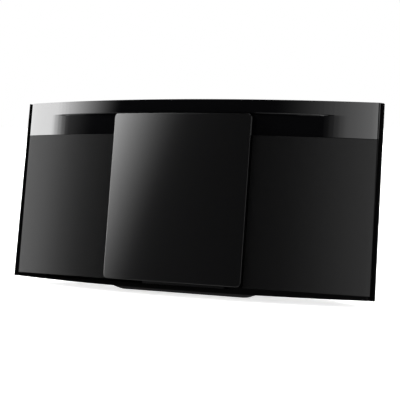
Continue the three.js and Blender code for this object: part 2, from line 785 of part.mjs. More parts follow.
function mainBoard() {
  const shape = box([-40, 80], [17, 18.6], [62, 158]);
  const chips = [
    box([0, 18], [18.5, 20], [84, 102]),
    box([34, 44], [18.5, 20], [110, 120]),
    box([-28, -6], [18.5, 25], [120, 140]),
    box([56, 74], [18.5, 23], [70, 82]),
  ];
  return join(shape, ...chips);
}

function powerBoard() {
  const shape = box([-34, 80], [20, 21.6], [6, 58]);
  const transformer = box([-26, 6], [21.5, 34], [14, 46]);
  const capacitors = [20, 36, 52].map((x) => rod("y", [x, 46], [21.5, 36], 6.3, 16));
  return join(shape, transformer, ...capacitors);
}

function displayModule() {
  const centreX = 112;
  const turn = (Math.atan((2 * WINDOW_SAGITTA * centreX) / WINDOW_HALF ** 2) * 180) / Math.PI;
  const front = windowY(centreX) + WINDOW_THICKNESS + 0.8;
  const body = box([-27, 27], [0, 4.5], [153.5, 166.5]);
  return body.rotate([0, 0, turn]).translate([centreX, front, 0]);
}

function heatSink() {
  let shape = box([-80, -48], [27, 30], [66, 140]);
  for (let i = 0; i < 6; i++) {
    const x = -79.5 + i * 6;
    shape = join(shape, box([x, x + 1.6], [29.9, 39], [66, 140]));
  }
  return shape;
}

function acInlet() {
  const body = box([-64, -44], [31, REAR_DEPTH + 0.4], [8, 22]);
  const socket = roundedRectangle([-61.5, -46.5], [10.5, 19.5], 3);
  const cavity = faceExtrude(socket, [33, 60]);
  const pins = [-58.3, -49.7].map((x) => rod("y", [x, 15], [32.5, 41], 1.2, 8));
  return join(cut(body, cavity), ...pins);
}

function roundJack(x, z, radius, length) {
  const outer = rod("y", [x, z], [REAR_DEPTH - length, REAR_DEPTH + 0.8], radius, 20);
  const hole = rod("y", [x, z], [REAR_DEPTH - length + 2, REAR_DEPTH + 9], radius * 0.5, 14);
  return cut(outer, hole);
}

// Rear cabinet.

function rearSideProfile() {
  const shape = new THREE.Shape();
  shape.moveTo(PARTING_Y - 5, -12);
  shape.lineTo(REAR_DEPTH - 8, -12);
  shape.lineTo(REAR_DEPTH - 8, 1.5);
  shape.lineTo(REAR_DEPTH + 0.5, 9);
  shape.lineTo(REAR_DEPTH + 0.5, 138);
  shape.bezierCurveTo(REAR_DEPTH, 166, 34, 180, 15, BODY_TOP - 0.2);
  shape.lineTo(PARTING_Y - 5, BODY_TOP - 0.2);
  return shape;
}

// The side profile runs the body's whole width.
function acrossBody(shape, shift) {
  const geometry = new THREE.ExtrudeGeometry(shape, {
    depth: 460,
    bevelEnabled: false,
    curveSegments: 7,
  });
  const axes = new THREE.Matrix4().makeBasis(
    new THREE.Vector3(0, 1, 0),
    new THREE.Vector3(0, 0, 1),
    new THREE.Vector3(1, 0, 0),
  );
  return solid(geometry.applyMatrix4(axes).translate(-230, shift[0], shift[1]));
}

function rearCabinet() {
  const front = PARTING_Y + GAP;
  const profile = acrossBody(rearSideProfile(), [0, 0]);
  const outer = raise(rearPlan(0, front), [-8, BODY_TOP]).intersect(profile);
  const innerProfile = acrossBody(rearSideProfile(), [-REAR_WALL, -REAR_WALL]);
  const hollow = raise(rearPlan(REAR_WALL, front - 1), [0, CAVITY_TOP]).intersect(innerProfile);
  const inner = hollow.subtract(underside().translate([0, 0, REAR_FLOOR_WALL]));
  const holes = [];
  for (let i = 0; i < 11; i++) {
    const x = -50 + i * 10;
    holes.push(box([x - 1.5, x + 1.5], [36, 60], [112, 136]));
  }
  holes.push(box([-64.3, -43.7], [36, 60], [7.7, 22.3]));
  holes.push(rod("y", [52, 15], [36, 60], 5.3, 20));
  holes.push(rod("y", [70, 15], [36, 60], 6.3, 20));
  for (const side of [-1, 1]) {
    for (const z of CABINET_SCREW_Z) {
      holes.push(rod("y", [side * CABINET_SCREW_X, z], [30, 60], 2, 10));
    }
    holes.push(rod("y", [side * STAND_SCREW_X, STAND_SCREW_Z], [30, 60], 2, 10));
  }
  return cut(outer, inner, ...holes, underside());
}

function screw(x, z, headY, length) {
  const head = rod("y", [x, z], [headY, headY + 1.8], 3.4, 12);
  const shank = rod("y", [x, z], [headY - length, headY + 0.2], 1.5, 8);
  const slots = [
    box([x - 2.2, x + 2.2], [headY + 0.9, headY + 3], [z - 0.35, z + 0.35]),
    box([x - 0.35, x + 0.35], [headY + 0.9, headY + 3], [z - 2.2, z + 2.2]),
  ];
  return cut(join(head, shank), ...slots);
}

// Stand: a foot plate that widens upwards, and an upright behind the body.

function standPlate() {
  const narrow = STAND_FOOT_HALF;
  const flare = STAND_TOP_HALF - STAND_FOOT_HALF;
  const drawn = roundedRectangle(
    [-narrow, narrow],
    [STAND_FRONT_Y + 1, STAND_BACK_Y - 1],
    6,
  );
  const plate = new THREE.ExtrudeGeometry(drawn, {
    depth: STAND_TOP - STAND_SHOULDER,
    bevelThickness: STAND_SHOULDER - STAND_UNDERSIDE,
    bevelSize: flare,
    bevelSegments: 1,
    curveSegments: 4,
  });
  plate.translate(0, 0, STAND_SHOULDER);
  const trim = box([-100, 100], [STAND_FRONT_Y, STAND_BACK_Y], [0, STAND_TOP]);
  return solid(plate).intersect(trim);
}

function stand(leanedBody, leanedUpright) {
  const pockets = footPlaces().map(([x, y]) => rod("z", [x, y], [0, 1.9], FOOT_RADIUS + GAP, 14));
  return cut(join(standPlate(), leanedUpright), leanedBody, ...pockets);
}

function footPlaces() {
  const places = [];
  for (const y of [14, 66]) {
    for (const x of [-60, 60]) places.push([x, y]);
  }
  return places;
}

// Assembly.

const group = new THREE.Group();
group.name = "mini_hifi_system";
group.position.y = -DEPTH_CENTRE;
const body = new THREE.Group();
body.rotation.x = THREE.MathUtils.degToRad(-LEAN_DEG);
body.position.z = FLOOR_DROP;
group.add(body);

function place(parent, name, shape, finish) {
  const piece = new THREE.Mesh(geometryOf(shape), new THREE.MeshStandardMaterial(finish));
  piece.name = name;
  parent.add(piece);
  return piece;
}

// Body coordinates to the standing frame, for the stand that is cut by the body.
function leaned(shape) {
  return shape.rotate([-LEAN_DEG, 0, 0]).translate([0, 0, FLOOR_DROP]);
}

place(body, "front_cabinet", frontCabinet(), matte);
place(body, "rear_cabinet", rearCabinet(), matte);
place(body, "top_ornament", topOrnament(), gloss);
place(body, "display_window", displayWindow(), gloss);
place(body, "top_panel", topPanel(), matte);
BUTTON_NAMES.forEach((name, i) => place(body, name, button(i), gloss));
place(body, "button_board", buttonBoard(), board);

place(body, "sliding_door", slidingDoor(), gloss);
place(body, "door_rack", doorRack(), acetal);
place(body, "lower_door_rail", lowerDoorRail(), steel);
place(body, "upper_door_rail", upperDoorRail(), steel);
place(body, "door_motor", doorMotor(), steel);
const drive = place(body, "door_drive_gear", driveGear(), acetal);
drive.position.set(DRIVE_GEAR_X, DRIVE_GEAR_Y, 0);
const pinion = place(body, "motor_pinion", motorPinion(), acetal);
pinion.position.set(DRIVE_GEAR_X, MOTOR_Y, 0);

place(body, "disc_bay_plate", discBayPlate(), dark);
place(body, "disc_chassis", discChassis(), steel);
place(body, "spindle_motor", spindleMotor(), steel);
place(body, "turntable_hub", turntableHub(), dark);
place(body, "left_guide_rod", guideRod(-1), steel);
place(body, "right_guide_rod", guideRod(1), steel);
place(body, "pickup_sled", pickupSled(), dark);
place(body, "sled_motor", sledMotor(), steel);
const sledWheel = place(body, "sled_gear", sledGear(), acetal);
sledWheel.position.set(SLED_GEAR_X, 0, SLED_GEAR_Z);

for (const [label, side] of [["left", -1], ["right", 1]]) {
  place(body, label + "_grille", grille(side), mesh);
  place(body, label + "_speaker_box", speakerBox(side), matte);
  const driver = new THREE.Group();
  driver.position.set(side * SPEAKER_X, skinY(SPEAKER_X), SPEAKER_Z);
  driver.rotation.z = side * SPEAKER_TURN;
  body.add(driver);
  place(driver, label + "_driver_basket", driverBasket(), steel);
  place(driver, label + "_driver_magnet", driverMagnet(), steel);
  place(driver, label + "_cone", speakerCone(), paper);
  place(driver, label + "_surround", surround(), rubber);
}

place(body, "main_board", mainBoard(), board);
place(body, "power_board", powerBoard(), board);
place(body, "display_module", displayModule(), dark);
place(body, "heat_sink", heatSink(), aluminium);
place(body, "ac_inlet", acInlet(), dark);
place(body, "aux_jack", roundJack(52, 15, 5, 14), dark);
place(body, "antenna_socket", roundJack(70, 15, 6, 14), dark);
for (const [label, side] of [["left", -1], ["right", 1]]) {
  const x = side * CABINET_SCREW_X;
  const [low, high] = CABINET_SCREW_Z;
  place(body, "upper_" + label + "_screw", screw(x, high, REAR_DEPTH + GAP, 12), steel);
  place(body, "lower_" + label + "_screw", screw(x, low, REAR_DEPTH + GAP, 12), steel);
}

const envelope = leaned(
  raise(rearPlan(-GAP, 0), [-8, 60]).subtract(underside().translate([0, 0, -GAP])),
);
const upright = leaned(
  box([-UPRIGHT_HALF, UPRIGHT_HALF], [REAR_DEPTH - 6, REAR_DEPTH + UPRIGHT_THICKNESS], [0, UPRIGHT_TOP]),
);
const screwHoles = [-STAND_SCREW_X, STAND_SCREW_X].map((x) =>
  leaned(rod("y", [x, STAND_SCREW_Z], [20, 70], 2, 10)),
);
place(group, "stand", cut(stand(envelope, upright), ...screwHoles), matte);
const footNames = ["front_left", "front_right", "rear_left", "rear_right"];
footPlaces().forEach(([x, y], i) => {
  place(group, "foot_" + footNames[i], rod("z", [x, y], [0, 1.6], FOOT_RADIUS, 14), rubber);
});
for (const [label, side] of [["left", -1], ["right", 1]]) {
  const shape = screw(side * STAND_SCREW_X, STAND_SCREW_Z, REAR_DEPTH + UPRIGHT_THICKNESS + GAP, 14);
  place(body, label + "_stand_screw", shape, steel);
}

export default group;
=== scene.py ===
"""A slim bowed mini hifi system: its finished outer pieces, its materials and its studio.

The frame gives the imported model. Lengths in this file are millimetres until MM turns them into
metres. The body is worked on upright, with its front facing -Y, and then leans back as a whole.
"""

import json
import math

import bpy
from mathutils import Matrix, Vector


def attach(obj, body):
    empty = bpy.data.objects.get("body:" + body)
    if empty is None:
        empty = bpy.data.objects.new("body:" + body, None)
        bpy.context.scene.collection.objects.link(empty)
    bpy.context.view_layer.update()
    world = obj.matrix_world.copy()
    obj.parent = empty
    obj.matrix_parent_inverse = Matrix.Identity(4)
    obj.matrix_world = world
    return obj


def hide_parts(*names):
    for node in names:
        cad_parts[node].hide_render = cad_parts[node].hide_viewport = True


bl_info = {
    "name": "Mini Hifi System",
    "version": (1, 0, 0),
    "blender": (4, 5, 0),
    "location": "View3D > Sidebar > Hifi",
    "description": "Builds the looks of a slim bowed mini hifi system around its packed model",
    "category": "Object",
}

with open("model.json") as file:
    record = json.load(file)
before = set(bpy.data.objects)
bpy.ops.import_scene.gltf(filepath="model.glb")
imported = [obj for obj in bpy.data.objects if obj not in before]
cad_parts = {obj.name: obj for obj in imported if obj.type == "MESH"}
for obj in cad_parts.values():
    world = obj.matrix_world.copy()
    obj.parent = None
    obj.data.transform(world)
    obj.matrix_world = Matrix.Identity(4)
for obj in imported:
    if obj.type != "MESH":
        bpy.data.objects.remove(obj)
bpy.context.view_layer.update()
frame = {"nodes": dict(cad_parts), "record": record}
MM = 0.001

# The body's shape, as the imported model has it.
HALF_WIDTH = 200.0
BOW = 26.4
SKIN_RADIUS = (HALF_WIDTH**2 + BOW**2) / (2 * BOW)
ARC_CENTRE_Y = SKIN_RADIUS - BOW
LEAN = math.radians(9)
FLOOR_DROP = 9.8
DEPTH_CENTRE = 24.55
FACE_TOP = 185.4
CORNER_RADIUS = 5.0

# The sheets that cover the front, and how far back they wrap the body's sides.
SHEET_BACK = 4.2
GRILLE_INNER = 78.4
GRILLE_Z = (0.7, 150.0)
GRILLE_THICKNESS = 1.5
GRILLE_EDGE = 0.5
BAND_BOTTOM = 150.3
BAND_THICKNESS = 1.8

# Beyond FLARE_START the sheets widen towards the bottom, to meet the side rails.
FLARE_START = 160.0
FLARE_TOP = 0.8
FLARE_BOTTOM = 3.4

# The ledge under the top strip: heights, and the share of the window's hollow at each.
LEDGE = ((172.4, 0.0), (172.1, 0.04), (171.8, 0.14), (171.4, 0.42), (170.8, 1.0))
WINDOW_HALF = 156.0
WINDOW_HOLLOW = 6.6
WINDOW_ROUNDING = 13.0
WINDOW_BEND = 2.6
CREASE_STEP = 2.0

# The sliding door: places along the arc, depths off the skin, and heights.
DOOR_HALF = 77.0
DOOR_FRONT = -3.0
DOOR_BACK = -0.6
DOOR_Z = (0.9, 171.1)
DOOR_SLICES = 32
LOWER_GUIDE_X = (-30, 60)
LOWER_GUIDE_FLOOR = -1.5
LOWER_GUIDE_BACK = 9.0
UPPER_GUIDE_X = (-20, 72)
UPPER_GUIDE_FLOOR = 166.5
UPPER_GUIDE_BACK = 9.3
GUIDE_WALL = 0.8
GUIDE_LIP = 1.0
SKIRT_TOP = 1.6
SKIRT_INSET = 0.05
BOSS_DEPTH = 2
SHELF_OVERLAP = 0.1

# Rounding of the inner pieces' edges, and tolerances for choosing parts of a mesh.
INNER_EDGE = 0.2
NEAR = 0.01
ALIGNED = 0.9

BODY_TO_ROW = Matrix.Translation((0, -DEPTH_CENTRE * MM, FLOOR_DROP * MM)) @ Matrix.Rotation(
    -LEAN, 4, "X"
)


# What a user would change.


class HifiSizes(bpy.types.PropertyGroup):
    """Sizes of the finished pieces."""

    door_edge: bpy.props.FloatProperty(
        name="Door edge",
        description="Width of the polished bevel round the sliding door",
        default=0.55 * MM,
        unit="LENGTH",
    )
    door_corner: bpy.props.FloatProperty(
        name="Door corner",
        description="Radius of the sliding door's four corners",
        default=4 * MM,
        unit="LENGTH",
    )
    band_edge: bpy.props.FloatProperty(
        name="Band edge",
        description="Width of the bevel along the gloss band",
        default=0.5 * MM,
        unit="LENGTH",
    )
    grille_pitch: bpy.props.FloatProperty(
        name="Grille pitch",
        description="Distance between the grille's holes",
        default=1.1 * MM,
        unit="LENGTH",
    )
    moulding_edge: bpy.props.FloatProperty(
        name="Moulding edge",
        description="Rounding along the edges of moulded pieces",
        default=0.45 * MM,
        unit="LENGTH",
    )


class HifiColours(bpy.types.PropertyGroup):
    """Colours of the finishes."""

    lacquer: bpy.props.FloatVectorProperty(
        name="Lacquer",
        description="Gloss black of the band and the buttons",
        default=(0.001, 0.001, 0.0012),
        subtype="COLOR",
    )
    door: bpy.props.FloatVectorProperty(
        name="Door",
        description="Satin black of the sliding door",
        default=(0.0025, 0.0025, 0.0026),
        subtype="COLOR",
    )
    plastic: bpy.props.FloatVectorProperty(
        name="Front plastic",
        description="Plain black plastic of the front cabinet and its lip",
        default=(0.003, 0.003, 0.0031),
        subtype="COLOR",
    )
    rear_plastic: bpy.props.FloatVectorProperty(
        name="Rear plastic",
        description="Grained black plastic of the rear cabinet, the top and the stand",
        default=(0.014, 0.014, 0.0145),
        subtype="COLOR",
    )
    grille: bpy.props.FloatVectorProperty(
        name="Grille paint",
        description="Paint on the punched grilles",
        default=(0.0018, 0.0018, 0.0019),
        subtype="COLOR",
    )
    floor: bpy.props.FloatVectorProperty(
        name="Floor",
        description="The pale studio floor",
        default=(0.9, 0.9, 0.9),
        subtype="COLOR",
    )


def sizes():
    return bpy.context.scene.hifi_sizes


def colours():
    return bpy.context.scene.hifi_colours


# Shader sums.


class Sum:
    """A shader value that Python's operators can work with."""

    def __init__(self, nodes, socket):
        self.nodes = nodes
        self.socket = socket

    def maths(self, operation, *others):
        return self.nodes.node("ShaderNodeMath", {"operation": operation}, self, *others)

    def from_number(self, operation, number):
        """Sums in which the number stands before this value."""
        return self.nodes.node("ShaderNodeMath", {"operation": operation}, number, self)

    def __add__(self, other):
        return self.maths("ADD", other)

    def __radd__(self, number):
        return self.from_number("ADD", number)

    def __mul__(self, other):
        return self.maths("MULTIPLY", other)

    def __rmul__(self, number):
        return self.from_number("MULTIPLY", number)

    def __sub__(self, other):
        return self.maths("SUBTRACT", other)

    def __rsub__(self, number):
        return self.from_number("SUBTRACT", number)

    def __truediv__(self, other):
        return self.maths("DIVIDE", other)

    def __rtruediv__(self, number):
        return self.from_number("DIVIDE", number)

    def step(self, low, high):
        """0 below low and 1 above high, smooth between them."""
        settings = {"interpolation_type": "SMOOTHSTEP", "clamp": True}
        return self.nodes.node("ShaderNodeMapRange", settings, self, low, high, 0.0, 1.0)


def find_socket(sockets, key):
    """A socket by its place, by its name with _ for each space, or by its identifier."""
    if isinstance(key, int):
        return sockets[key]
    return next(s for s in sockets if key in (s.name.replace(" ", "_"), s.identifier))


class Nodes:
    """A node tree, and the one way in which nodes are added to it."""

    def __init__(self, tree):
        self.tree = tree

    def node(self, kind, settings=None, *values, output=0, **named):
        """Adds a node, gives it its settings, then feeds its sockets by place or by name."""
        made = self.tree.nodes.new(kind)
        for setting, value in (settings or {}).items():
            setattr(made, setting, value)
        for key, value in list(enumerate(values)) + list(named.items()):
            self.feed(find_socket(made.inputs, key), value)
        return Sum(self, find_socket(made.outputs, output))

    def feed(self, socket, value):
        if isinstance(value, Sum):
            self.tree.links.new(value.socket, socket)
        else:
            socket.default_value = value


class Finish(Nodes):
    """One material and its nodes, around a Principled shader."""

    def __init__(self, name, **constants):
        self.material = bpy.data.materials.new(name)
        self.material.use_nodes = True
        super().__init__(self.material.node_tree)
        self.shader = self.tree.nodes["Principled BSDF"]
        for key, value in constants.items():
            self.feed(find_socket(self.shader.inputs, key), value)

    def set(self, socket, value):
        self.feed(self.shader.inputs[socket], value)

    def surface(self, value):
        """Makes another shader than the Principled one the material's surface."""
        self.feed(self.tree.nodes["Material Output"].inputs["Surface"], value)

    def place(self, turn=0.0, scale=(1, 1, 1)):
        """Object coordinates in metres, turned upright again on a leaning piece."""
        where = self.node("ShaderNodeTexCoord", output="Object")
        named = {"Vector": where, "Rotation": (turn, 0, 0), "Scale": scale}
        return self.node("ShaderNodeMapping", {"vector_type": "POINT"}, **named)

    def noise(self, where, scale, detail=2.0, roughness=0.5):
        named = {"Vector": where, "Scale": scale, "Detail": detail, "Roughness": roughness}
        return self.node("ShaderNodeTexNoise", output="Fac", **named)

    def blend(self, mask, first, second):
        """A colour that goes from first to second as mask goes from 0 to 1."""
        first, second = (c if isinstance(c, Sum) else (*c, 1.0) for c in (first, second))
        named = {"Factor": mask, "A_Color": first, "B_Color": second}
        return self.node("ShaderNodeMix", {"data_type": "RGBA"}, output="Result_Color", **named)

    def relief(self, height, depth, strength=1.0):
        named = {"Height": height, "Distance": depth, "Strength": strength}
        self.set("Normal", self.node("ShaderNodeBump", **named))


def shade(colour, factor):
    return tuple(min(1.0, channel * factor) for channel in colour)


# Materials.


def lacquer():
    """Piano black with the faint waviness of a polished moulding."""
    made = Finish("piano_black", Specular_IOR_Level=0.5, IOR=1.5)
    where = made.place(LEAN)
    smear = made.noise(where, 26, 3)
    base = tuple(colours().lacquer)
    made.set("Base Color", made.blend(smear, base, shade(base, 1.5)))
    made.set("Roughness", smear * 0.02 + 0.035)
    made.relief(made.noise(where, 60, 0), 0.00001, 0.25)
    return made.material


def door_finish():
    """Satin black with a very fine upright brushing."""
    made = Finish("satin_black_door", Specular_IOR_Level=0.5)
    where = made.place(LEAN, (1, 1, 0.02))
    brushed = made.noise(where, 2600, 2)
    cloud = made.noise(made.place(LEAN), 14, 2)
    base = tuple(colours().door)
    made.set("Base Color", made.blend(brushed, shade(base, 0.8), shade(base, 1.3)))
    made.set("Roughness", brushed * 0.02 + cloud * 0.02 + 0.1)
    made.relief(brushed, 0.00001, 0.15)
    return made.material


def moulded(name, colour, rough=0.5, grain=1500, sheen=0.2):
    """Moulded plastic: fine spark-eroded grain and slightly uneven gloss."""
    made = Finish(name, Specular_IOR_Level=sheen)
    where = made.place(LEAN)
    fine = made.noise(where, grain, 2)
    broad = made.noise(where, 18, 3)
    made.set("Base Color", made.blend(broad, shade(colour, 0.85), shade(colour, 1.2)))
    made.set("Roughness", fine * 0.12 + broad * 0.06 + (rough - 0.09))
    made.relief(fine, 0.00003, 0.5)
    return made.material


def punched(name, colour):
    """Thin sheet with staggered round holes, painted satin; the holes are coloured dark as
    painted shade for the unlit inside seen through them.
    """
    made = Finish(name, Specular_IOR_Level=0.15)
    pitch = sizes().grille_pitch
    row_height = pitch * math.sqrt(3) / 2
    where = made.place(LEAN)
    aside = made.node("ShaderNodeSeparateXYZ", None, where, output="X")
    height = made.node("ShaderNodeSeparateXYZ", None, where, output="Z")
    along = (aside / (SKIN_RADIUS * MM)).maths("ARCSINE") * (SKIN_RADIUS * MM)
    row = (height / row_height).maths("FLOOR")
    stagger = row.maths("MODULO", 2.0).maths("ABSOLUTE") * 0.5
    across = (along / pitch + stagger).maths("FRACT") - 0.5
    up = ((height / row_height).maths("FRACT") - 0.5) * (math.sqrt(3) / 2)
    distance = (across * across + up * up).maths("SQRT")
    sheet = distance.step(0.24, 0.3)
    speckle = made.noise(where, 900, 2)
    paint = made.blend(speckle, shade(colour, 0.8), shade(colour, 1.25))
    # The holes get painted shade: a much darker colour stands in for the unlit inside behind
    # them.
    made.set("Base Color", made.blend(sheet, shade(colour, 0.3), paint))
    made.set("Roughness", sheet * -0.26 + speckle * 0.05 + 0.43)
    made.relief(sheet, 0.0002, 0.08)
    return made.material


def metal(name, colour, rough=0.3, direction=(1, 1, 1)):
    """Bare or plated metal with fine lines drawn along one direction."""
    made = Finish(name, Metallic=1.0)
    lines = made.noise(made.place(LEAN, direction), 900, 2)
    broad = made.noise(made.place(LEAN), 40, 2)
    made.set("Base Color", made.blend(broad, shade(colour, 0.85), shade(colour, 1.1)))
    made.set("Roughness", lines * 0.18 + broad * 0.08 + (rough - 0.13))
    made.relief(lines, 0.00002, 0.3)
    return made.material


def rubbery(name, colour):
    """Soft matt rubber with a dusty bloom."""
    made = Finish(name, Specular_IOR_Level=0.3)
    where = made.place()
    bloom = made.noise(where, 120, 4)
    made.set("Base Color", made.blend(bloom, shade(colour, 0.8), shade(colour, 1.7)))
    made.set("Roughness", bloom * 0.12 + 0.78)
    made.relief(made.noise(where, 2400, 2), 0.00003, 0.5)
    return made.material


def paper(name, colour):
    """Pressed paper pulp with loose fibres."""
    made = Finish(name, Specular_IOR_Level=0.2)
    fibres = made.noise(made.place(LEAN, (1, 1, 5)), 700, 5, 0.7)
    made.set("Base Color", made.blend(fibres, shade(colour, 0.6), shade(colour, 1.6)))
    made.set("Roughness", fibres * 0.1 + 0.82)
    made.relief(fibres, 0.0001, 0.6)
    return made.material


def circuit(name):
    """Green lacquer over copper tracks that run in squared cells."""
    made = Finish(name, Specular_IOR_Level=0.5)
    where = made.place(LEAN)
    named = {"Vector": where, "Scale": 260.0}
    squared = {"distance": "CHEBYCHEV"}
    cells = made.node("ShaderNodeTexVoronoi", squared, output="Distance", **named)
    track = cells.step(0.3, 0.36)
    cloud = made.noise(where, 60, 2)
    green = made.blend(cloud, (0.01, 0.07, 0.025), (0.016, 0.1, 0.035))
    made.set("Base Color", made.blend(track, (0.03, 0.16, 0.05), green))
    made.set("Roughness", track * 0.12 + 0.3)
    made.relief(track, 0.00006, 0.5)
    return made.material


def acetal(name):
    """Cream engineering plastic, slightly waxy."""
    made = Finish(name, Specular_IOR_Level=0.45, Subsurface_Weight=0.05)
    cloud = made.noise(made.place(LEAN), 90, 3)
    made.set("Base Color", made.blend(cloud, (0.72, 0.69, 0.6), (0.8, 0.77, 0.69)))
    made.set("Roughness", cloud * 0.12 + 0.36)
    made.relief(made.noise(made.place(LEAN), 1800, 1), 0.00002, 0.3)
    return made.material


# Modelling helpers. Each leaves Blender in object mode.


def alone(piece):
    """Selects one piece and makes it active."""
    bpy.ops.object.select_all(action="DESELECT")
    piece.select_set(True)
    bpy.context.view_layer.objects.active = piece


def apply(piece, kind, **settings):
    """Adds a modifier with its settings and applies it."""
    alone(piece)
    modifier = piece.modifiers.new(kind.lower(), kind)
    for setting, value in settings.items():
        setattr(modifier, setting, value)
    bpy.ops.object.modifier_apply(modifier=modifier.name)


def choose(piece, kind, test):
    """Enters edit mode with the vertices, edges or faces that pass the test selected.

    The test gets the element's middle, in millimetres, and its direction or normal."""
    alone(piece)
    mesh = piece.data
    for group in (mesh.vertices, mesh.edges, mesh.polygons):
        group.foreach_set("select", [False] * len(group))
    points = [v.co / MM for v in mesh.vertices]
    if kind == "VERT":
        for v in mesh.vertices:
            v.select = bool(test(points[v.index], v.normal))
    if kind == "EDGE":
        for e in mesh.edges:
            a, b = (points[i] for i in e.vertices)
            e.select = bool(test((a + b) / 2, (b - a).normalized()))
    if kind == "FACE":
        for p in mesh.polygons:
            p.select = bool(test(p.center / MM, p.normal))
    bpy.context.tool_settings.mesh_select_mode = [kind == k for k in ("VERT", "EDGE", "FACE")]
    bpy.ops.object.mode_set(mode="EDIT")


def done():
    bpy.ops.object.mode_set(mode="OBJECT")


def block(name, x, y, z):
    """A box between two planes on each axis, as a start."""
    middle = [(a + b) / 2 * MM for a, b in (x, y, z)]
    bpy.ops.object.select_all(action="DESELECT")
    bpy.ops.mesh.primitive_cube_add(size=1, location=middle)
    piece = bpy.context.active_object
    piece.name = name
    piece.data.name = name
    piece.scale = [(b - a) * MM for a, b in (x, y, z)]
    bpy.ops.object.transform_apply(location=True, rotation=True, scale=True)
    return piece


def weld(piece, *others):
    """Joins other closed pieces into this one."""
    for other in others:
        apply(piece, "BOOLEAN", operation="UNION", solver="EXACT", object=other)
        bpy.data.objects.remove(other)


def slices(piece, axis, positions):
    """Cuts across the piece at each place along an axis, so that it can bend."""
    normal = [float(i == axis) for i in range(3)]
    alone(piece)
    bpy.ops.object.mode_set(mode="EDIT")
    for position in positions:
        bpy.ops.mesh.select_all(action="SELECT")
        point = [position * MM * n for n in normal]
        bpy.ops.mesh.bisect(plane_co=point, plane_no=normal)
    done()


def along_arc(x, inset=0.0):
    """Length along the skin's arc to the place where it is x from the middle."""
    return SKIN_RADIUS * math.asin(x / (SKIN_RADIUS - inset))


def bow(piece):
    """Bends a flat piece round the body's upright arc, and sets it back to the arc's ends."""
    width = piece.dimensions.x
    settings = {"deform_method": "BEND", "deform_axis": "Z"}
    apply(piece, "SIMPLE_DEFORM", angle=width / (SKIN_RADIUS * MM), **settings)
    piece.location.y = -BOW * MM
    bpy.ops.object.transform_apply(location=True, rotation=True, scale=True)


def lean(piece):
    """Stands an upright piece where the leaning body has it."""
    alone(piece)
    piece.matrix_world = BODY_TO_ROW
    bpy.ops.object.transform_apply(location=True, rotation=True, scale=True)


def skin_y(x, inset=0.0):
    return ARC_CENTRE_Y - math.sqrt((SKIN_RADIUS - inset) ** 2 - x**2)


def soften(piece, width, segments=2, angle=35):
    """Rounds every edge that is sharper than an angle."""
    settings = {"limit_method": "ANGLE", "angle_limit": math.radians(angle)}
    apply(piece, "BEVEL", width=width, segments=segments, use_clamp_overlap=True, **settings)


def smooth(piece, angle=32):
    """Smooth shading in which the large faces keep their own normals."""
    alone(piece)
    bpy.ops.object.shade_smooth_by_angle(angle=math.radians(angle), keep_sharp_edges=False)
    apply(piece, "WEIGHTED_NORMAL", mode="FACE_AREA", weight=80, keep_sharp=True)


def recalculate(piece):
    alone(piece)
    bpy.ops.object.mode_set(mode="EDIT")
    bpy.ops.mesh.select_all(action="SELECT")
    bpy.ops.mesh.remove_doubles(threshold=0.002 * MM)
    bpy.ops.mesh.normals_make_consistent(inside=False)
    done()


def finished(piece, finish, slot, body, *nodes):
    """Gives a piece its material and its body, and hides the nodes that it stands for."""
    piece.data.materials.clear()
    piece.data.materials.append(finish)
    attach(piece, body)
    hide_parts(*nodes)
    return piece


def refined(node, name, edge, angle=32, segments=2):
    """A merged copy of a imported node, with its flat faces whole and its edges rounded."""
    source = frame["nodes"][node]
    piece = bpy.data.objects.new(name, source.data.copy())
    bpy.context.scene.collection.objects.link(piece)
    alone(piece)
    bpy.ops.object.mode_set(mode="EDIT")
    bpy.ops.mesh.select_all(action="SELECT")
    bpy.ops.mesh.remove_doubles(threshold=0.004 * MM)
    bpy.ops.mesh.dissolve_limited(angle_limit=math.radians(0.4))
    done()
    if edge > 0:
        soften(piece, edge, segments, angle)
    smooth(piece, angle)
    return piece


# Front pieces.


def skin_sheet(name, x, z, rows=()):
    """An upright sheet on the skin's arc that turns the body's round corner at |x| = 200.

    x gives its two ends; an end at the corner wraps round it to the body's side."""
    inner = [v for v in x if abs(v) < HALF_WIDTH]
    side = HALF_WIDTH - CORNER_RADIUS
    arc_end = math.asin(side / (SKIN_RADIUS - CORNER_RADIUS))
    ends = [math.asin(v / SKIN_RADIUS) if v in inner else math.copysign(arc_end, v) for v in x]
    start = Vector((math.sin(ends[0]), -math.cos(ends[0]), 0)) * SKIN_RADIUS
    foot = start + Vector((0, ARC_CENTRE_Y, z[0]))
    piece = block(name, (0, 1), (0, 1), (0, z[1] - z[0]))
    choose(piece, "VERT", lambda p, n: p.x > 0.5 or p.y > 0.5)
    bpy.ops.mesh.delete(type="VERT")
    done()
    alone(piece)
    piece.location = foot * MM
    bpy.ops.object.transform_apply(location=True, rotation=True, scale=True)
    bpy.ops.object.mode_set(mode="EDIT")
    for row in rows:
        bpy.ops.mesh.select_all(action="SELECT")
        bpy.ops.mesh.bisect(plane_co=(0, 0, row * MM), plane_no=(0, 0, 1))
    bpy.ops.mesh.select_all(action="SELECT")
    centre = (0, ARC_CENTRE_Y * MM, 0)
    steps = max(8, round(abs(ends[1] - ends[0]) * SKIN_RADIUS / 5))
    turn = {"axis": (0, 0, 1), "dupli": False}
    bpy.ops.mesh.spin(steps=steps, angle=ends[0] - ends[1], center=centre, **turn)
    done()
    for end, angle in zip(x, ends):
        if abs(end) >= HALF_WIDTH:
            wrap_corner(piece, math.copysign(1, end), angle)
    recalculate(piece)
    return piece


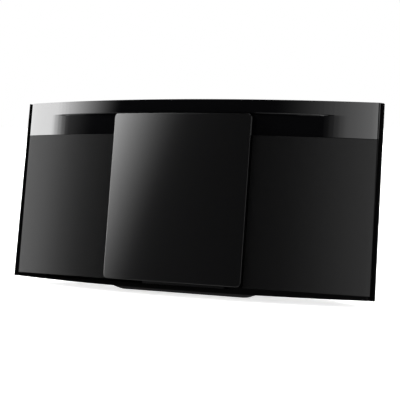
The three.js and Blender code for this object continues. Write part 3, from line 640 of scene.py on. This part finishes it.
def wrap_corner(piece, side, angle):
    """Carries a sheet's end round the body's corner and back along its side."""
    edge_x = SKIN_RADIUS * math.sin(angle)
    middle_x = (HALF_WIDTH - CORNER_RADIUS) * side
    middle_y = skin_y(middle_x, CORNER_RADIUS)
    choose(piece, "EDGE", lambda p, d: abs(p.x - edge_x) < NEAR and abs(d.z) > ALIGNED)
    turn = (abs(angle) - math.pi / 2) * side
    centre = (middle_x * MM, middle_y * MM, 0)
    bpy.ops.mesh.spin(steps=6, angle=turn, center=centre, axis=(0, 0, 1), dupli=False)
    done()
    outer_x = HALF_WIDTH * side
    choose(piece, "EDGE", lambda p, d: abs(p.x - outer_x) < NEAR and abs(d.z) > ALIGNED)
    bpy.ops.mesh.extrude_region_move()
    bpy.ops.transform.translate(value=(0, (SHEET_BACK - middle_y) * MM, 0))
    done()


def sliding_door():
    """The curved door with its polished edge and the flanges that hook into the two guides."""
    half = along_arc(DOOR_HALF)
    x = (-half, half)
    door = block("sliding_door_panel", x, (DOOR_FRONT, DOOR_BACK), DOOR_Z)
    choose(door, "EDGE", lambda p, d: abs(d.y) > ALIGNED)
    bpy.ops.mesh.bevel(offset=sizes().door_corner, segments=8)
    done()
    choose(door, "EDGE", lambda p, d: p.y < DOOR_FRONT + NEAR and abs(d.y) < 1 - ALIGNED)
    bpy.ops.mesh.bevel(offset=sizes().door_edge, segments=3)
    done()
    low = [along_arc(v) for v in LOWER_GUIDE_X]
    high = [along_arc(v) for v in UPPER_GUIDE_X]
    floor = LOWER_GUIDE_FLOOR
    front = DOOR_BACK - GUIDE_LIP
    skirt = block("skirt", low, (front, DOOR_BACK - SKIRT_INSET), (floor, SKIRT_TOP))
    flange = block("flange", low, (front, LOWER_GUIDE_BACK), (floor, floor + GUIDE_WALL))
    boss = block("boss", low, (LOWER_GUIDE_BACK - BOSS_DEPTH, LOWER_GUIDE_BACK), (floor, 0))
    top = DOOR_Z[1]
    depth = (DOOR_BACK - SHELF_OVERLAP, UPPER_GUIDE_BACK)
    shelf = block("shelf", high, depth, (top - GUIDE_WALL, top))
    back = (UPPER_GUIDE_BACK - GUIDE_LIP, UPPER_GUIDE_BACK)
    lip = block("lip", high, back, (UPPER_GUIDE_FLOOR, top))
    weld(skirt, flange, boss)
    weld(shelf, lip)
    weld(door, skirt, shelf)
    slices(door, 0, [half * (2 * i / DOOR_SLICES - 1) for i in range(1, DOOR_SLICES)])
    bow(door)
    lean(door)
    smooth(door, 40)
    finished(door, door_finish(), "gloss_plastic", "door", "sliding_door")


def flare(piece):
    """Widens a sheet's outer ends towards the bottom, where they meet the side rails."""
    slope = (FLARE_BOTTOM - FLARE_TOP) / FACE_TOP
    reach = HALF_WIDTH - FLARE_START
    for v in piece.data.vertices:
        x, y, z = v.co / MM
        beyond = (abs(x) - FLARE_START) / reach
        if beyond > 0:
            out = (FLARE_BOTTOM - slope * z) * beyond
            back = skin_y(abs(x) + out) - skin_y(x)
            v.co += Vector((math.copysign(out, x), back, 0)) * MM


def window_depth(x):
    """How far the window's hollow lies behind the skin, rounded where it begins."""
    inside = WINDOW_HALF - abs(x)
    slope = WINDOW_BEND * WINDOW_HOLLOW / WINDOW_HALF
    if inside > WINDOW_ROUNDING:
        return WINDOW_HOLLOW * (1 - (abs(x) / WINDOW_HALF) ** WINDOW_BEND)
    rise = max(0.0, inside + WINDOW_ROUNDING)
    easing = 1 - (WINDOW_BEND - 1) * rise / (4 * WINDOW_HALF)
    return slope * rise**2 / (4 * WINDOW_ROUNDING) * easing


def ledge_share(z):
    """How much of the window's hollow is reached at a height, from none in the strip to all."""
    shares = [share for height, share in LEDGE if z <= height + 0.05]
    return shares[-1] if shares else 0.0


def gloss_band():
    """One polished moulding: the top strip, its ledge, and the window's hollow under it."""
    span = (-HALF_WIDTH, HALF_WIDTH)
    rows = [height for height, share in LEDGE]
    band = skin_sheet("gloss_band", span, (BAND_BOTTOM, FACE_TOP), rows)
    near = WINDOW_HALF - WINDOW_ROUNDING
    count = math.ceil(2 * WINDOW_ROUNDING / CREASE_STEP) + 1
    creases = [side * (near + CREASE_STEP * i) for side in (-1, 1) for i in range(count)]
    slices(band, 0, creases)
    for v in band.data.vertices:
        x, y, z = v.co / MM
        v.co.y += window_depth(x) * ledge_share(z) * MM
    apply(band, "SOLIDIFY", thickness=BAND_THICKNESS * MM, offset=-1, use_even_offset=True)
    soften(band, sizes().band_edge, 3, 84)
    flare(band)
    lean(band)
    smooth(band, 40)
    finished(band, lacquer(), "gloss_plastic", "root", "top_ornament", "display_window")


def grille(side):
    """A punched sheet on the bow that wraps the body's outer corner."""
    name = "left" if side < 0 else "right"
    ends = (side * GRILLE_INNER, side * HALF_WIDTH)
    piece = skin_sheet(name + "_grille_sheet", tuple(sorted(ends)), GRILLE_Z)
    apply(piece, "SOLIDIFY", thickness=GRILLE_THICKNESS * MM, offset=-1, use_even_offset=True)
    soften(piece, GRILLE_EDGE * MM, 3, 50)
    flare(piece)
    lean(piece)
    smooth(piece, 30)
    return piece


# Operators.


class HIFI_OT_door(bpy.types.Operator):
    """Builds the sliding door."""

    bl_idname = "hifi.door"
    bl_label = "Sliding door"

    def execute(self, context):
        sliding_door()
        return {"FINISHED"}


class HIFI_OT_band(bpy.types.Operator):
    """Builds the gloss band with its window."""

    bl_idname = "hifi.band"
    bl_label = "Gloss band"

    def execute(self, context):
        gloss_band()
        return {"FINISHED"}


class HIFI_OT_grilles(bpy.types.Operator):
    """Builds the two punched grilles."""

    bl_idname = "hifi.grilles"
    bl_label = "Grilles"

    def execute(self, context):
        finish = punched("punched_sheet", tuple(colours().grille))
        for side, node in ((-1, "left_grille"), (1, "right_grille")):
            finished(grille(side), finish, "grille_metal", "root", node)
        return {"FINISHED"}


class HIFI_OT_cabinet(bpy.types.Operator):
    """Builds the cabinet's shells, the top panel, the stand and its feet."""

    bl_idname = "hifi.cabinet"
    bl_label = "Cabinet and stand"

    def execute(self, context):
        front = moulded("front_plastic", tuple(colours().plastic), sheen=0.13)
        grained = moulded("cabinet_plastic", tuple(colours().rear_plastic), sheen=0.3)
        edge = sizes().moulding_edge
        for node in ("front_cabinet", "rear_cabinet", "top_panel", "stand"):
            finish = front if node == "front_cabinet" else grained
            piece = refined(node, node + "_moulding", edge)
            finished(piece, finish, "cabinet_plastic", "root", node)
        finish = rubbery("foot_rubber", (0.012, 0.012, 0.012))
        for place in ("front_left", "front_right", "rear_left", "rear_right"):
            node = "foot_" + place
            finished(refined(node, node + "_pad", 0.3 * MM), finish, "rubber", "root", node)
        return {"FINISHED"}


BUTTONS = (
    "power",
    "source",
    "pairing",
    "volume_down",
    "volume_up",
    "stop",
    "play_pause",
    "open_close",
)


class HIFI_OT_buttons(bpy.types.Operator):
    """Builds the eight buttons on top."""

    bl_idname = "hifi.buttons"
    bl_label = "Buttons"

    def execute(self, context):
        finish = lacquer()
        for name in BUTTONS:
            piece = refined(name + "_button", name + "_cap", 0.5 * MM, 50, 3)
            finished(piece, finish, "gloss_plastic", name + "_key", name + "_button")
        return {"FINISHED"}


def inside_finishes():
    """The finish of each kind of inner piece, by the start or end of its node's name."""
    steel = metal("zinc_plated_steel", (0.56, 0.57, 0.58), 0.32, (1, 1, 6))
    white = acetal("white_acetal")
    board = circuit("circuit_board")
    dark = moulded("dark_plastic", (0.02, 0.02, 0.021), 0.42)
    return {
        "_rail": steel,
        "_chassis": steel,
        "_basket": steel,
        "_magnet": metal("magnet_steel", (0.3, 0.3, 0.31), 0.45),
        "_rod": metal("ground_steel", (0.72, 0.73, 0.74), 0.2, (1, 1, 0.1)),
        "_motor": metal("motor_can", (0.6, 0.61, 0.6), 0.35, (1, 1, 0.2)),
        "_screw": metal("black_zinc", (0.09, 0.09, 0.095), 0.34),
        "heat_sink": metal("extruded_aluminium", (0.66, 0.67, 0.68), 0.4, (1, 1, 0.05)),
        "_rack": white,
        "_gear": white,
        "_pinion": white,
        "_board": board,
        "_plate": dark,
        "_hub": dark,
        "_sled": dark,
        "_module": moulded("display_frame", (0.03, 0.03, 0.032), 0.4),
        "_inlet": moulded("inlet_plastic", (0.03, 0.03, 0.031), 0.4),
        "_jack": dark,
        "_socket": dark,
        "_box": moulded("speaker_box_plastic", (0.03, 0.03, 0.03), 0.6, 900),
        "_cone": paper("cone_paper", (0.03, 0.03, 0.032)),
        "_surround": rubbery("surround_rubber", (0.015, 0.015, 0.015)),
    }


class HIFI_OT_inside(bpy.types.Operator):
    """Gives every piece behind the covers its own material and rounded edges."""

    bl_idname = "hifi.inside"
    bl_label = "Inside and sockets"

    def execute(self, context):
        finishes = inside_finishes()
        record = frame["record"]
        slots = {part["node"]: part["material_slot"] for part in record["subparts"]}
        bodies = record["behaviour"]["bodies"]
        owners = {node: body for body, nodes in bodies.items() for node in nodes}
        left = [node for node, source in frame["nodes"].items() if not source.hide_render]
        for node in left:
            found = [finish for ending, finish in finishes.items() if node.endswith(ending)]
            piece = refined(node, node + "_finished", INNER_EDGE * MM)
            finished(piece, found[0], slots[node], owners[node], node)
        return {"FINISHED"}


CAMERA_PLACE = Vector((0.5644, -1.1056, 0.1849))
CAMERA_TARGET = Vector((0.0216, -0.0249, 0.0962))
CAMERA_LENS = 108.99
CAMERA_SENSOR = 36
CAMERA_FAR = 60
CARD_DISTANCE = 5.0
CARD_AIM_Z = 0.1
FLOOR_Z = -0.2 * MM
FLOOR_RADIUS = 12
FLOOR_GLOW = 0.8
SUN_STRENGTH = 1.8
SUN_SIZE = math.radians(35)
SUN_TURN = (math.radians(-20), math.radians(4), 0)
AROUND_CAMERA = 1.0
AROUND_DIFFUSE = 0.3
AROUND_OTHER = 0.015


def glowing(name, dark, bright, power, bend, tilt):
    """A card's glow that fades from its bright side to nothing, along a tilted line."""
    made = Finish(name)
    named = {"Vector": made.node("ShaderNodeTexCoord", output="Object"), "Rotation": (0, 0, tilt)}
    turned = made.node("ShaderNodeMapping", {"vector_type": "POINT"}, **named)
    aside = made.node("ShaderNodeSeparateXYZ", None, turned, output="X")
    fade = ((aside - dark) / (bright - dark)).maths("MAXIMUM", 0.0).maths("MINIMUM", 1.0)
    glow = made.node("ShaderNodeEmission", Strength=fade.maths("POWER", bend) * power)
    clear = made.node("ShaderNodeBsdfTransparent")
    made.surface(made.node("ShaderNodeAddShader", None, glow, clear))
    made.tree.nodes.remove(made.shader)
    return made.material


def card(name, azimuth, elevation, size, span, power, bend, tilt=0.0, distance=CARD_DISTANCE):
    """A glowing card that faces the body, at an azimuth from straight in front.

    size is its half width and half height as seen from the body, and span is where it is dark
    and where it is brightest, off its middle, all in degrees. bend is how sharply it fades."""
    turn = math.radians(azimuth)
    rise = math.radians(elevation)
    level = math.cos(rise)
    out = Vector((math.sin(turn) * level, -math.cos(turn) * level, math.sin(rise)))
    bpy.ops.mesh.primitive_grid_add(x_subdivisions=2, y_subdivisions=2, size=1)
    piece = bpy.context.active_object
    piece.name = name
    across, up = (2 * distance * math.tan(math.radians(v)) for v in size)
    piece.scale = (across, up, 1)
    bpy.ops.object.transform_apply(location=False, rotation=False, scale=True)
    piece.location = out * distance + Vector((0, 0, CARD_AIM_Z))
    piece.rotation_euler = out.to_track_quat("Z", "Y").to_euler()
    dark, bright = (distance * math.tan(math.radians(v)) for v in span)
    piece.data.materials.append(glowing(name, dark, bright, power, bend, tilt))
    piece.visible_camera = False
    return piece


def lights_only(light, pieces, state):
    """A light reaches only these pieces (INCLUDE) or all but these (EXCLUDE)."""
    group = bpy.data.collections.new(light.name + "_receivers")
    light.light_linking.receiver_collection = group
    for piece in pieces:
        group.objects.link(piece)
    for linked in group.collection_objects:
        linked.light_linking.link_state = state


def studio_floor():
    """A pale glowing floor that can be seen only from above."""
    bpy.ops.object.select_all(action="DESELECT")
    disc = {"vertices": 96, "radius": FLOOR_RADIUS, "fill_type": "NGON"}
    bpy.ops.mesh.primitive_circle_add(location=(0, 0, FLOOR_Z), **disc)
    floor = bpy.context.active_object
    floor.name = "studio_floor"
    finish = Finish("pale_floor", Specular_IOR_Level=0.1, Emission_Strength=FLOOR_GLOW)
    mottle = finish.noise(finish.place(), 3, 2)
    pale = tuple(colours().floor)
    finish.set("Base Color", finish.blend(mottle, shade(pale, 0.985), pale))
    finish.set("Roughness", mottle * 0.1 + 0.8)
    finish.set("Emission Color", (*pale, 1.0))
    underneath = finish.node("ShaderNodeNewGeometry", output="Backfacing")
    solid = Sum(finish, finish.shader.outputs["BSDF"])
    clear = finish.node("ShaderNodeBsdfTransparent")
    finish.surface(finish.node("ShaderNodeMixShader", None, underneath, solid, clear))
    floor.data.materials.append(finish.material)
    floor.visible_glossy = False
    floor.visible_diffuse = False
    floor.visible_shadow = False


def studio_lights():
    """An overhead sun, and cards that each light and show in only some of the pieces."""
    sun = bpy.data.lights.new("overhead", "SUN")
    sun.energy = SUN_STRENGTH
    sun.angle = SUN_SIZE
    lamp = bpy.data.objects.new("overhead", sun)
    bpy.context.scene.collection.objects.link(lamp)
    lamp.rotation_euler = SUN_TURN
    left = card("left_card", -75, 12, (35, 24), (31, 15), 12.5, 1.9)
    side = card("left_grille_card", -75, 12, (35, 24), (31, 14), 5.7, 3.2, distance=5.5)
    right = card("right_card", 8, 14, (20, 18), (-16, 8), 3.6, 2.0)
    high = card("door_card", -50, 12, (30, 22), (14.7, -3), 17.5, 2.25, tilt=0.66, distance=4.5)
    card("right_edge_card", 75, 10, (18, 24), (-18, 18), 0.6, 0)
    card("rear_card", -150, 28, (26, 24), (-40, 26), 9, 1.0)
    card("far_right_card", 52, 16, (16, 22), (-16, 12), 2.6, 1.5)
    glow = card("floor_glow", -10, -58, (60, 22), (-22, 22), 1.6, 0)
    door = bpy.data.objects["sliding_door_panel"]
    sheet = bpy.data.objects["left_grille_sheet"]
    cabinet = bpy.data.objects["front_cabinet_moulding"]
    stand = bpy.data.objects["stand_moulding"]
    lights_only(left, [door, sheet, cabinet, stand], "EXCLUDE")
    lights_only(side, [sheet], "INCLUDE")
    lights_only(right, [door, cabinet, stand], "EXCLUDE")
    lights_only(high, [door], "INCLUDE")
    lights_only(glow, [cabinet], "EXCLUDE")


def studio_world():
    """Surroundings that look white, light softly, and hardly show in reflections."""
    world = bpy.data.worlds.new("studio")
    bpy.context.scene.world = world
    world.use_nodes = True
    nodes = Nodes(world.node_tree)
    soft = nodes.node("ShaderNodeLightPath", output="Is_Diffuse_Ray")
    seen = nodes.node("ShaderNodeLightPath", output="Is_Camera_Ray")
    unseen = nodes.node("ShaderNodeMix", None, soft, A_Float=AROUND_OTHER, B_Float=AROUND_DIFFUSE)
    strength = nodes.node("ShaderNodeMix", None, seen, A_Float=unseen, B_Float=AROUND_CAMERA)
    background = world.node_tree.nodes["Background"]
    nodes.feed(background.inputs["Color"], (1, 1, 1, 1))
    nodes.feed(background.inputs["Strength"], strength)
    bpy.context.scene.view_settings.view_transform = "Standard"


def studio_camera():
    """The camera, to the listener's right and a little above the body's middle."""
    lens = bpy.data.cameras.new("camera")
    lens.lens = CAMERA_LENS
    lens.sensor_width = CAMERA_SENSOR
    lens.clip_end = CAMERA_FAR
    camera = bpy.data.objects.new("camera", lens)
    bpy.context.scene.collection.objects.link(camera)
    camera.location = CAMERA_PLACE
    camera.rotation_euler = (CAMERA_TARGET - CAMERA_PLACE).to_track_quat("-Z", "Y").to_euler()
    bpy.context.scene.camera = camera


class HIFI_OT_stage(bpy.types.Operator):
    """Sets the floor, the lights, the surroundings and the camera."""

    bl_idname = "hifi.stage"
    bl_label = "Studio"

    def execute(self, context):
        studio_floor()
        studio_lights()
        studio_world()
        studio_camera()
        return {"FINISHED"}


STEPS = (
    HIFI_OT_door,
    HIFI_OT_band,
    HIFI_OT_grilles,
    HIFI_OT_cabinet,
    HIFI_OT_buttons,
    HIFI_OT_inside,
    HIFI_OT_stage,
)


class HIFI_PT_panel(bpy.types.Panel):
    """Lists the steps and what can be changed."""

    bl_idname = "HIFI_PT_panel"
    bl_label = "Mini hifi system"
    bl_space_type = "VIEW_3D"
    bl_region_type = "UI"
    bl_category = "Hifi"

    def draw(self, context):
        for step in STEPS:
            self.layout.operator(step.bl_idname)
        for group in (context.scene.hifi_sizes, context.scene.hifi_colours):
            for name in group.__annotations__:
                self.layout.prop(group, name)


CLASSES = (HifiSizes, HifiColours, *STEPS, HIFI_PT_panel)


def register():
    for each in CLASSES:
        bpy.utils.register_class(each)
    bpy.types.Scene.hifi_sizes = bpy.props.PointerProperty(type=HifiSizes)
    bpy.types.Scene.hifi_colours = bpy.props.PointerProperty(type=HifiColours)


def unregister():
    del bpy.types.Scene.hifi_sizes
    del bpy.types.Scene.hifi_colours
    for each in reversed(CLASSES):
        bpy.utils.unregister_class(each)


def main():
    register()
    bpy.ops.hifi.door()
    bpy.ops.hifi.band()
    bpy.ops.hifi.grilles()
    bpy.ops.hifi.cabinet()
    bpy.ops.hifi.buttons()
    bpy.ops.hifi.inside()
    bpy.ops.hifi.stage()


if __name__ == "__main__":
    main()
